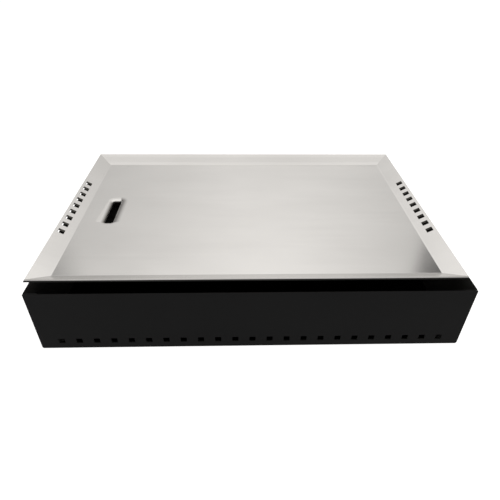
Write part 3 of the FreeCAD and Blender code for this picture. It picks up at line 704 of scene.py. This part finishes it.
# Matt rubber with a fine moulded grain, and a mottle of pale dust.
rubber = grained("moulded rubber", (1400.0, 3.0), [(0.014, 0.014, 0.014, 1), (0.045, 0.043, 0.04, 1)],
                 (0.7, 0.9), (0.4, 0.0001), mottle=(120.0, 4.0), specular=0.3)
for corner in corners:
    foot = foot_place(corner)
    node = "foot_stud_" + corner
    low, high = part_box(node)
    rod = threaded_rod((*foot, low.z), (0, 0, 1), high.z - low.z, FOOT_RADIUS, FOOT_PITCH, around=24)
    collar = hexagon_nut((*foot, low.z + FOOT_COLLAR_LEVEL), (0, 0, 1), FOOT_NUT_FLATS, FOOT_COLLAR_HEIGHT,
                         0.8 * FOOT_RADIUS)
    make_piece("threaded_" + node, [rod, collar], zinc, node, node)

    node = "foot_pad_" + corner
    low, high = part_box(node)
    wide, tall = (high.x - low.x) / 2, high.z
    narrow, bore = wide * PAD_TAPER, FOOT_RADIUS + FOOT_CLEARANCE
    profile = [(wide - PAD_TREAD - PAD_MOUTH, PAD_HOLLOW), (wide - PAD_TREAD, 0), (wide - PAD_EDGE, 0),
               (wide, PAD_EDGE), (wide, PAD_LIP - PAD_EDGE), (wide - PAD_EDGE, PAD_LIP)]
    for share in np.linspace(0.06, 0.94, 23):
        rib = PAD_RIB_DEPTH * (1 - math.cos(PAD_RIBS * math.tau * share))
        profile.append((wide + (narrow - wide) * share - rib, PAD_LIP + (tall - PAD_LIP) * share))
    profile += [(narrow - PAD_HOLLOW, tall), (bore + PAD_MOUTH, tall), (bore, tall - PAD_MOUTH),
                (bore, tall - PAD_SOCKET)]
    radius, height = np.array(profile).T[..., None]
    pad = turned_shape((*foot, low.z), (0, 0, 1), radius, height, 64)
    make_piece("moulded_" + node, [pad], rubber, node, node)

# ---- Cooking plate
# One sheet of 4.8 mm stainless steel, brushed along its width. Its edges are folded up 30 degrees and
# welded at the mitres. Nine square vents are cut in each side flange, and a drain slot with a rolled edge
# at the left.
PLATE_SHEET = 0.0048
PLATE_ROUNDING = 0.0003
FLANGE_ANGLE = math.radians(30)
FLANGE_SLOPE = 0.0335  # from the bend line to the rim
FLANGE_STEP = 0.006  # greatest width of a row of faces on the slope
BEND_RADIUS = 0.004
BEND_SUPPORT = 0.0008  # narrow rows of faces beside a bend keep the shading of the flats flat
PLATE_VENT = 0.0122
PLATE_VENT_PITCH = 0.0245
PLATE_VENT_COUNT = 9
PLATE_VENT_RISE = 0.0215  # centre above the bend line, up the slope
SLOT_CORNER = 0.005
SLOT_CORNER_STEPS = 3
SLOT_WALL = 0.0015  # thickness of the spout's wall
SLOT_ROLL_DROP = 0.0026
SLOT_ROLL_REACH = 0.009
SLOT_OUTER_RINGS = (0.0125, 0.018)  # rows of faces beyond the rolled edge
SLOT_REACH = 0.021  # beyond it the rows are straight

plate_low, plate_high = np.array(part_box("cooking_plate"))
spout_low, spout_high = np.array(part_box("drain_spout"))
plate_middle, slot_middle = (plate_low + plate_high) / 2, (spout_low + spout_high) / 2
flat_top = spout_high[2] + PLATE_SHEET
flange_reach = FLANGE_SLOPE * math.cos(FLANGE_ANGLE) + PLATE_SHEET * math.sin(FLANGE_ANGLE)
flat_half = (plate_high - plate_low) / 2 - flange_reach
slot_half = (spout_high - spout_low) / 2 - SLOT_WALL


def flange_profile():
    """A flange's section from the flat outwards, a row for each line.

    Each row holds the run and rise of the upper and of the lower face from the bend line, and the
    distance along the unfolded sheet. An arc about a centre above the bend is followed by a slope.
    """
    tangent = BEND_RADIUS * math.tan(FLANGE_ANGLE / 2)
    rows = []
    for turn in np.linspace(0, FLANGE_ANGLE, 5):
        upper, lower = ((radius * math.sin(turn) - tangent, BEND_RADIUS - radius * math.cos(turn))
                        for radius in (BEND_RADIUS, BEND_RADIUS + PLATE_SHEET))
        rows.append((*upper, *lower, BEND_RADIUS * turn - tangent))
    marks = [tangent, tangent + BEND_SUPPORT, FLANGE_SLOPE,
             PLATE_VENT_RISE - PLATE_VENT / 2, PLATE_VENT_RISE + PLATE_VENT / 2]
    cos, sin = math.cos(FLANGE_ANGLE), math.sin(FLANGE_ANGLE)
    for slope in grid_lines(marks, FLANGE_STEP)[1:]:
        run, rise = slope * cos, slope * sin
        rows.append((run, rise, run + PLATE_SHEET * sin, rise - PLATE_SHEET * cos, slope))
    return np.array(rows)


profile = flange_profile()


def snapped(lines, marks):
    """The lines, each moved to a mark that lies within about half a spacing of it."""
    lines = np.array(lines)
    reach = 0.55 * np.median(np.diff(np.sort(lines)))
    for mark in marks:
        nearest = np.argmin(np.abs(lines - mark))
        if abs(lines[nearest] - mark) < reach:
            lines[nearest] = mark
    return lines


def plate_lines(middle, half, marks):
    """One way's lines over the plate: places on the upper and lower face, rises, and unfolded places."""
    edge = half + profile[0, 0]
    flat = grid_lines([middle - edge, middle - edge + BEND_SUPPORT, *marks,
                       middle + edge - BEND_SUPPORT, middle + edge])
    run, rise, low_run, low_rise, unfolded = profile[1:].T

    def both(inner, outward):
        return np.concatenate([middle - half - outward[::-1], inner, middle + half + outward])

    def raised(outward):
        return np.concatenate([outward[::-1], np.zeros(len(flat)), outward])

    low_rise = low_rise + PLATE_SHEET
    return both(flat, run), both(flat, low_run), raised(rise), raised(low_rise), both(flat, unfolded)


def in_vent(lines, middles):
    """True for each run between lines that lies within a vent at one of the middles."""
    runs = (lines[:-1] + lines[1:]) / 2
    return (np.abs(runs[:, None] - middles) < PLATE_VENT / 2).any(1)


vent_places = even_row(plate_middle[1], PLATE_VENT_PITCH, PLATE_VENT_COUNT)
vent_edges = np.concatenate([vent_places - PLATE_VENT / 2, vent_places + PLATE_VENT / 2])
roll_turns = np.linspace(0, math.pi / 2, 8)
slot_rings = np.append(SLOT_ROLL_REACH * (1 - np.cos(roll_turns)), SLOT_OUTER_RINGS)
slot_depths = np.append(-SLOT_ROLL_DROP * (1 - np.sin(roll_turns)), [0] * (1 + len(SLOT_OUTER_RINGS)))
slot_steps = SLOT_CORNER_STEPS + len(slot_rings)
slot_marks = [mouth_marks(slot_middle[k], slot_half[k], SLOT_CORNER, SLOT_REACH, slot_steps) for k in (0, 1)]
columns = plate_lines(plate_middle[0], flat_half[0], slot_marks[0])
rows = plate_lines(plate_middle[1], flat_half[1], [*snapped(slot_marks[1], vent_edges), *vent_edges])
grids = [np.meshgrid(along_x, along_y, indexing="ij") for along_x, along_y in zip(columns, rows)]
(x, y), (low_x, low_y) = grids[:2]
rise, low_rise = (np.maximum(*grid) for grid in grids[2:4])
unfolded = np.stack(grids[4], -1)
ring, filled = open_mouth(x, y, columns[0], rows[0], slot_middle, slot_half, SLOT_CORNER, slot_rings,
                          SLOT_CORNER_STEPS)
near_slot = ring < len(slot_rings)
low_x[near_slot], low_y[near_slot] = x[near_slot], y[near_slot]
unfolded[near_slot] = np.stack([x, y], -1)[near_slot]
upper = np.stack([x, y, flat_top + rise + slot_depths[ring]], -1)
lower = np.stack([low_x, low_y, flat_top - PLATE_SHEET + low_rise], -1)

beyond_bend = np.abs(columns[4] - plate_middle[0]) - flat_half[0]
filled[np.ix_(in_vent(beyond_bend, [PLATE_VENT_RISE]), in_vent(rows[0], vent_places))] = False

steps = [np.arange(count) for count in filled.shape]
ends = [np.minimum(step, step[::-1]) for step in steps]
sides = [np.where(step < len(step) / 2, -1, 1) for step in steps]
mitre = (ends[0][:, None] == ends[1]) & (ends[0][:, None] < len(profile) - 1)
creases = np.where(mitre, sides[0][:, None] * sides[1], 0)
grain = np.concatenate([unfolded.reshape(-1, 2), unfolded.reshape(-1, 2) + PLATE_SHEET])

# Ranges over which a mark comes or goes: a start, an end, and its values there if not 0 and 1.
FRONT_END = (-0.002, 0.003)  # where marks start, from the slot's front
BACK_END = (-0.009, -0.001, 1.0, 0.0)  # where they stop, from its back
HIGHLIGHT_LEFT = (-0.004, -0.010)  # painted highlight on the left, from the slot's middle
HIGHLIGHT_LEFT_WIDTH = (0.040, -0.030, 0.009, 0.015)
HIGHLIGHT_BACK = (0.004, 0.009, 1.0, 0.0)
HIGHLIGHT_BACK_WIDTH = (-0.006, 0.001, 0.0, 0.011)
HIGHLIGHT_RAGGED = (-0.0015, 0.0045)  # noise on the width
HIGHLIGHT_FADE = (-0.0015, 0.0015)
HIGHLIGHT_ROUGHER = 0.04
# Painted dark reflection on the right of the slot, and painted shade on its rolled left edge:
DARK_REFLECTION_RIGHT = (0.003, 0.009, 0.0, 0.88)
DARK_REFLECTION_REACH = (0.0, 0.016, 1.0, 0.0, "SMOOTHSTEP")
LIP_SHADE_LEFT = (-0.003, -0.009, 0.0, 0.9)
LIP_SHADE_REACH = (0.0, 0.0085, 1.0, 0.0, "SMOOTHSTEP")
# Painted shade on the flanges:
LEFT_FLANGE_SHADE = ((-0.215, -0.165, 0.0, 0.10), (-0.165, 0.20, 0.0, 0.12))
RIGHT_FLANGE_SHADE = (0.06, 0.14, 0.0, 0.10)
BACK_FLANGE_SHADE = ((0.005, 0.009, 0.0, 0.07), (0.019, 0.024, 1.0, 0.0))
FRONT_FLANGE_SHADE = ((-0.19, -0.08, 0.0, 0.13), (-0.05, 0.01, 0.0, 0.20))
FRONT_FLANGE_SHADE_START = (0.0, 0.002)
MITRE_FADE = (-0.0004, 0.0004)  # from the front and back flanges to the side ones
SIDE_FADE = (-0.1, 0.1)  # across the plate's middle
RIM_OUTWARD = PLATE_SHEET * math.sin(FLANGE_ANGLE)  # how far a rim's cut edge leans out
RIM_CUT = (-RIM_OUTWARD, -0.85 * RIM_OUTWARD, 0.0, 0.26)
# Painted shade on the lower part of the rims' cut edge:
RIM_SHADE = (-0.60 * RIM_OUTWARD, -0.52 * RIM_OUTWARD, 0.0, 0.97)
STEEL_TONES = ((0.815, 0.805, 0.790, 1), (0.870, 0.860, 0.845, 1))
# Colours of the painted highlight, shade and dark reflection round the slot:
HIGHLIGHT_COLOUR = (0.96, 0.95, 0.93, 1)
LIP_SHADE_COLOUR = (0.10, 0.09, 0.08, 1)
DARK_REFLECTION_COLOUR = (0.10, 0.09, 0.085, 1)
# Painted shade on the flanges:
FLANGE_SHADE_COLOUR = (0.10, 0.095, 0.09, 1)
CUT_COLOUR = (0.05, 0.048, 0.045, 1)
RIM_SHADE_COLOUR = (0.006, 0.006, 0.006, 1)


def slot_surround(steel, x, y):
    """How much painted highlight, painted shade and painted dark reflection lie round the drain slot.

    A painted highlight lies along the edge on the left and the back, out to a distance that noise makes
    uneven, with painted shade on the left where the edge rolls down, and a painted dark reflection on the
    right.
    """
    aside, back = steel.less(x, slot_middle[0]), steel.less(y, slot_middle[1])
    beyond = []
    for way, half in ((aside, slot_half[0]), (back, slot_half[1])):
        distance = steel.work_out("MAXIMUM", steel.less(steel.size(way), half - SLOT_CORNER))
        beyond.append(steel.product(distance, distance))
    from_edge = steel.less(steel.work_out("POWER", steel.total(*beyond), 0.5), SLOT_CORNER)
    from_front, from_back = steel.total(back, slot_half[1]), steel.less(back, slot_half[1])
    on_left = steel.together((aside, *HIGHLIGHT_LEFT), (back, *HIGHLIGHT_LEFT_WIDTH), (from_front, *FRONT_END))
    at_back = steel.together((from_back, *HIGHLIGHT_BACK_WIDTH), (aside, *HIGHLIGHT_BACK))
    reach = steel.total(steel.work_out("MAXIMUM", on_left, at_back),
                        steel.spread(steel.noise(230.0, 3.0), *HIGHLIGHT_RAGGED))
    slot_highlight = steel.ramp(steel.less(reach, from_edge), *HIGHLIGHT_FADE)
    dark_reflection = steel.together((aside, *DARK_REFLECTION_RIGHT), (from_front, *FRONT_END), (from_edge, *DARK_REFLECTION_REACH))
    lip_shade = steel.together((aside, *LIP_SHADE_LEFT), (from_back, *BACK_END), (from_edge, *LIP_SHADE_REACH))
    return slot_highlight, dark_reflection, lip_shade


def flange_shade(steel, across, along, beyond_x, beyond_y):
    """How much painted shade darkens the flanges: the sides towards the back, the middle of the back
    one's slope, and the front one towards its ends."""

    def either(share, first, second):
        return steel.node("Mix", {0: share, 2: first, 3: second}).outputs[0]

    past_mitre = steel.less(beyond_x, steel.work_out("MAXIMUM", beyond_y))
    left = steel.total(*(steel.ramp(along, *part) for part in LEFT_FLANGE_SHADE))
    right = steel.ramp(along, *RIGHT_FLANGE_SHADE)
    back = steel.together(*((beyond_y, *part) for part in BACK_FLANGE_SHADE))
    front = steel.product(steel.ramp(beyond_y, *FRONT_FLANGE_SHADE_START),
                          steel.total(*(steel.ramp(beyond_x, *part) for part in FRONT_FLANGE_SHADE)))
    on_right, at_back = (steel.ramp(way, *SIDE_FADE) for way in (across, along))
    return either(steel.ramp(past_mitre, *MITRE_FADE), either(at_back, front, back),
                  either(on_right, left, right))


def brushed_steel():
    """Stainless steel brushed along the width of the sheet before it was folded.

    Streaks are noise on the unfolded sheet, drawn out along the brushing: fine ones ripple the surface,
    and broad ones and clouds change its tone. The gloss spreads across the brushing. The sheared edge of
    the rims is a little darker, and its lower part is painted nearly black as painted shade. Painted
    highlight, shade and dark reflection round the drain slot and painted shade on the flanges are mixed in
    too.
    """
    steel = Finish("brushed stainless steel")
    sheet_place = steel.node("UVMap", {}, uv_map="grain").outputs["UV"]
    fine, broad, cloud = (steel.noise(1.0, detail, (along, across, 1), sheet_place, noise_dimensions="2D")
                          for along, across, detail in ((16, 2600, 3), (4, 90, 2), (5, 9, 3)))
    tone = steel.ramp(steel.total(steel.product(fine, 0.25), steel.product(broad, 0.35), cloud), 0.5, 1.1)
    x, y, _ = steel.sides()
    # Painted highlight, shade and dark reflection round the drain slot.
    slot_highlight, dark_reflection, lip_shade = slot_surround(steel, x, y)
    across, along = steel.less(x, plate_middle[0]), steel.less(y, plate_middle[1])
    beyond = [steel.less(steel.size(way), half) for way, half in zip((across, along), flat_half)]
    outward = steel.less(steel.work_out("MAXIMUM", *beyond), flange_reach)
    colour = steel.blend(tone, *STEEL_TONES)
    # Painted shade and highlight join the tone: round the slot, on the flanges and on the rims' lower edge.
    for share, mark in (
            (dark_reflection, DARK_REFLECTION_COLOUR), (flange_shade(steel, across, along, *beyond), FLANGE_SHADE_COLOUR),
            (steel.ramp(outward, *RIM_CUT), CUT_COLOUR), (steel.ramp(outward, *RIM_SHADE), RIM_SHADE_COLOUR),
            (slot_highlight, steel.blend(lip_shade, HIGHLIGHT_COLOUR, LIP_SHADE_COLOUR))):
        colour = steel.blend(share, colour, mark)
    return steel.surface({
        "Base Color": colour,
        "Metallic": 1.0,
        "Roughness": steel.total(steel.spread(tone, 0.12, 0.155), steel.product(slot_highlight, HIGHLIGHT_ROUGHER)),
        "Anisotropic": 0.85,
        "Anisotropic Rotation": 0.25,
        "Tangent": steel.node("Tangent", {}, direction_type="UV_MAP", uv_map="grain").outputs["Tangent"],
        "Normal": steel.bump(fine, 0.10, 0.00003),
    })


# A laser's cut is dark and dull, with fine lines across the sheet; its dark tone is partly painted shade in
# the vents and the slot.
laser_and_shade_tones = [(0.11, 0.104, 0.092, 1), (0.20, 0.19, 0.17, 1)]
laser_cut = grained("laser cut edge", (1.0, 2.0, (2200, 2200, 120)), laser_and_shade_tones, (0.65, 0.65), (0.5, 0.0001),
                    metallic=0.4)
make_piece("folded_cooking_plate", [sheet_shape(upper, lower, filled, creases)], brushed_steel(), "plate",
           "cooking_plate", PLATE_ROUNDING, grain, laser_cut)

# ---- Spout, stiffener bars and locating pins
# Mill finish stainless under the plate: a rounded collar that carries the drain slot down, three flat bars
# on edge with stitches of weld along both sides, and four turned pins that drop into the cross rails.
BAR_ROUNDING = 0.0008
BAR_BEAD_LENGTH = 0.028
BAR_BEAD_COUNT = 5
BAR_BEAD_INSET = 0.02  # from the bar's end
BEAD_RADIUS = 0.0022
BEAD_TAPER = 0.96  # radius lost at the weld's ends, as a share of it
BEAD_EDGE = 0.03  # thickness at the weld's edges, as a share of its radius
BEAD_SINK = 0.0002  # into the corner that it fills
BEAD_RIPPLE = 0.0014  # from one ripple of a weld to the next
BEAD_RIPPLE_HEIGHT = 0.05  # as a share of the radius
SPOUT_ROUNDING = 0.0003

# Rolled stainless is soft grey, with faint rolling lines. Grease bakes on the spout's inside, nearly black,
# in runs drawn downwards that are glossy where they are thick; its black is partly painted shade inside
# the spout.
stainless = grained("mill finish stainless steel", (1.0, 3.0, (30, 900, 900)),
                    [(0.46, 0.45, 0.43, 1), (0.62, 0.61, 0.59, 1)], (0.30, 0.46), (0.2, 0.00005),
                    mottle=(70.0, 4.0), metallic=1.0)
baked_grease_and_shade = grained("baked grease", (1.0, 4.0, (420, 420, 60)),
                       [(0.0015, 0.0012, 0.001, 1), (0.008, 0.006, 0.005, 1)], (0.65, 0.35), (0.5, 0.0002),
                       specular=0.2)


def weld_bead(start, way, out, length):
    """A fillet weld: a quarter round between the plate above and a wall, tapered and rippled along its run.

    At each share of the run its radius is scaled down by the sixth power of the share, and by a cosine
    of the distance for the ripples. out is the way from the wall, and the wall is at start.
    """
    start, way, out, down = (np.array(value, float) for value in (start, way, out, (0, 0, -1)))
    share = np.linspace(-1, 1, 1 + 4 * round(length / BEAD_RIPPLE))
    ripples = 1 + BEAD_RIPPLE_HEIGHT * np.cos(share * length / 2 / BEAD_RIPPLE * math.tau)
    radius = BEAD_RADIUS * (1 - BEAD_TAPER * share ** 6) * ripples
    turn = np.linspace(0, math.pi / 2, 5)
    points = start - BEAD_SINK * (out + down) + ((share + 1) / 2 * length)[:, None, None] * way
    for part, side in ((np.sin(turn), out), (np.cos(turn), down)):
        reach = np.append(part * (1 - BEAD_EDGE) + BEAD_EDGE, 0)
        points = points + (radius[:, None] * reach)[..., None] * side
    return wrapped_shape(points[:, ::-1] if np.cross(way, out)[2] > 0 else points)


for node in ("stiffener_bar_front", "stiffener_bar_middle", "stiffener_bar_rear"):
    low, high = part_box(node)
    bar = [plain_plate(low, high)]
    make_piece("welded_" + node, bar, stainless, "plate", node, BAR_ROUNDING)
    places = np.linspace(low.x + BAR_BEAD_INSET, high.x - BAR_BEAD_INSET - BAR_BEAD_LENGTH, BAR_BEAD_COUNT)
    beads = [weld_bead((place, y, high.z), (1, 0, 0), (0, out, 0), BAR_BEAD_LENGTH)
             for place in places for y, out in ((low.y, -1), (high.y, 1))]
    make_piece("welds_" + node, beads, stainless, "plate")

spout_profile = [(SLOT_WALL, spout_low[2], SLOT_CORNER), (0, spout_low[2], SLOT_CORNER + SLOT_WALL),
                 (0, spout_high[2], SLOT_CORNER + SLOT_WALL), (SLOT_WALL, spout_high[2], SLOT_CORNER)]
points, (faces,) = wrapped_shape(loop_rings(spout_low, spout_high, spout_profile), True)
wall = len(faces) // len(spout_profile)
make_piece("welded_drain_spout", [(points, [faces[:-wall], faces[-wall:]])], stainless, "plate",
           "drain_spout", SPOUT_ROUNDING, cut_material=baked_grease_and_shade)

pin_end = [(0.0014, 0), (0.0020, 0.0002), (0.0039, 0.0019), (PIN_RADIUS, 0.0022)]
pin_groove = [(PIN_RADIUS, 0.0098), (0.00375, 0.0100), (0.00375, 0.0106), (PIN_RADIUS, 0.0108)]
radius, height = np.array([*pin_end, *pin_groove, (PIN_RADIUS, pins_high.z - pins_low.z)]).T[..., None]
pins = [turned_shape((x, y, pins_low.z), (0, 0, 1), radius, height, 32)
        for x in pin_places for y in (pins_low.y + PIN_RADIUS, pins_high.y - PIN_RADIUS)]
make_piece("turned_locating_pins", pins, stainless, "plate", "locating_pins")

# ---- Studio
# A white floor that glows a little, with painted shade where the skirt stands and along its sides. The
# brushed plate mirrors a wide screen behind it, and soft lights overhead and in front fill in the rest.
SCREEN_DISTANCE = 2.5
SCREEN_HALF_WIDTH = 3.4
SCREEN_TOP = 3.4
SCREEN_MIDDLE = 0.25  # where it is brightest
SCREEN_RISE = ((0.5, 1.2, 0.66, 0.88), (1.2, 2.9, 0.90, 1.13))
SCREEN_ASIDE = (0.0, 1.75, 1.0, 0.72, "SMOOTHSTEP")
SCREEN_ENDS = (1.9, 3.2, 1.0, 0.6)
UPPER_LEFT = (-0.25, -0.75, 0.0, 0.17)  # brighter there
UPPER_LEFT_RISE = (2.35, 2.75)
RIGHT_CUT = ((1.72, 1.78, 0.0, 0.58), (1.78, 2.00, 0.0, 0.32))
LEFT_CUT = (-1.50, -1.80, 0.0, 0.40)
CUT_RISE = (1.94, 2.04)
LIGHT_COLOUR = (1.0, 0.98, 0.955, 1.0)
FILL_LIGHT = 0.84
AIR_COLOUR = (0.28, 0.28, 0.28, 1.0)
SIDE_SHADE = 0.0025  # of the skirt on the floor
SIDE_SHADE_END = (0.020, 0.008)  # it ends this far before the corners
FLOOR_FADE = (-0.0008, 0.0)  # at the skirt's outline
FLOOR_REACH = 15.0
FLOOR_GLOW = 0.78
LENS = 31.10
CAMERA_PLACE = (-0.02633, -0.80406, 0.61300)
CAMERA_TURN = (0.93820, -0.012535, -0.026715)


def studio_floor():
    """White paper, with painted shade: a dark rectangle where the skirt stands and a narrow strip along its
    sides.
    """
    floor = Finish("white floor")
    x, y, _ = floor.sides()
    aside, deep = floor.size(x), floor.size(y)
    # Painted shade: the floor is dark and does not glow under the skirt, and a little past its sides.
    shade = floor.ramp(deep, half_depth - SIDE_SHADE_END[0], half_depth - SIDE_SHADE_END[1], SIDE_SHADE, 0.0)
    inside = floor.within((floor.less(aside, shade), deep), (half_width, half_depth), FLOOR_FADE)
    white = floor.blend(floor.noise(4.0, 2.0), (0.90, 0.90, 0.90, 1), (0.94, 0.94, 0.94, 1))
    return floor.surface({
        "Base Color": floor.blend(inside, white, (0.002, 0.002, 0.002, 1)),
        "Roughness": 0.9,
        "Specular IOR Level": 0.0,
        "Emission Color": floor.blend(inside, (1, 1, 1, 1), (0, 0, 0, 1)),
        "Emission Strength": FLOOR_GLOW,
    })


def screen_glow(light):
    """The screen's light: brighter upwards, and dimmer aside from its middle.

    Above two metres it is cut off at the sides, sharply on the right and softly on the left.
    """
    x, _, z = light.sides()
    aside = light.size(light.less(x, SCREEN_MIDDLE))
    upper_left = light.together((x, *UPPER_LEFT), (z, *UPPER_LEFT_RISE))
    cut = light.total(*(light.ramp(x, *part) for part in (*RIGHT_CUT, LEFT_CUT)))
    level = light.together(*((z, *part) for part in SCREEN_RISE), (aside, *SCREEN_ASIDE),
                           (aside, *SCREEN_ENDS))
    return light.product(level, light.total(1.0, upper_left),
                         light.less(1.0, light.product(cut, light.ramp(z, *CUT_RISE))))


def glow(name, strength):
    """A light's material; strength is a number, or makes a pattern in the material."""
    light = Finish(name)
    light.material.node_tree.nodes.clear()
    strength = strength(light) if callable(strength) else strength
    emission = light.node("Emission", {"Color": LIGHT_COLOUR, "Strength": strength})
    light.node("OutputMaterial", {"Surface": emission.outputs[0]})
    return light.material


def stage_sheet(name, low, high, material, seen=False):
    """A flat sheet of the studio between two corners, seen by the camera only if seen."""
    last = (low[0], low[1], high[2]) if low[1] == high[1] else (low[0], high[1], low[2])
    mesh = bpy.data.meshes.new(name)
    mesh.from_pydata([low, (high[0], low[1], low[2]), high, last], [], [(0, 1, 2, 3)])
    mesh.materials.append(material)
    sheet = bpy.data.objects.new(name, mesh)
    bpy.context.scene.collection.objects.link(sheet)
    sheet.visible_camera = seen


fill = glow("fill light", FILL_LIGHT)
stage_sheet("floor", (-FLOOR_REACH, -FLOOR_REACH, 0), (FLOOR_REACH, FLOOR_REACH, 0), studio_floor(), True)
stage_sheet("screen", (-SCREEN_HALF_WIDTH, SCREEN_DISTANCE, 0.02),
            (SCREEN_HALF_WIDTH, SCREEN_DISTANCE, SCREEN_TOP), glow("screen light", screen_glow))
stage_sheet("overhead", (-2.5, -2.2, SCREEN_TOP), (2.5, SCREEN_DISTANCE, SCREEN_TOP), fill)
stage_sheet("front_light", (-2.4, -2.6, 0.4), (2.4, -2.6, 2.2), fill)

world = bpy.data.worlds.new("studio air")
world.use_nodes = True
world.node_tree.nodes["Background"].inputs["Color"].default_value = AIR_COLOUR
bpy.context.scene.world = world

lens = bpy.data.cameras.new("camera")
lens.lens = LENS
camera = bpy.data.objects.new("camera", lens)
camera.location = CAMERA_PLACE
camera.rotation_euler = CAMERA_TURN
bpy.context.scene.collection.objects.link(camera)
bpy.context.scene.camera = camera
bpy.context.scene.view_settings.view_transform = "Standard"
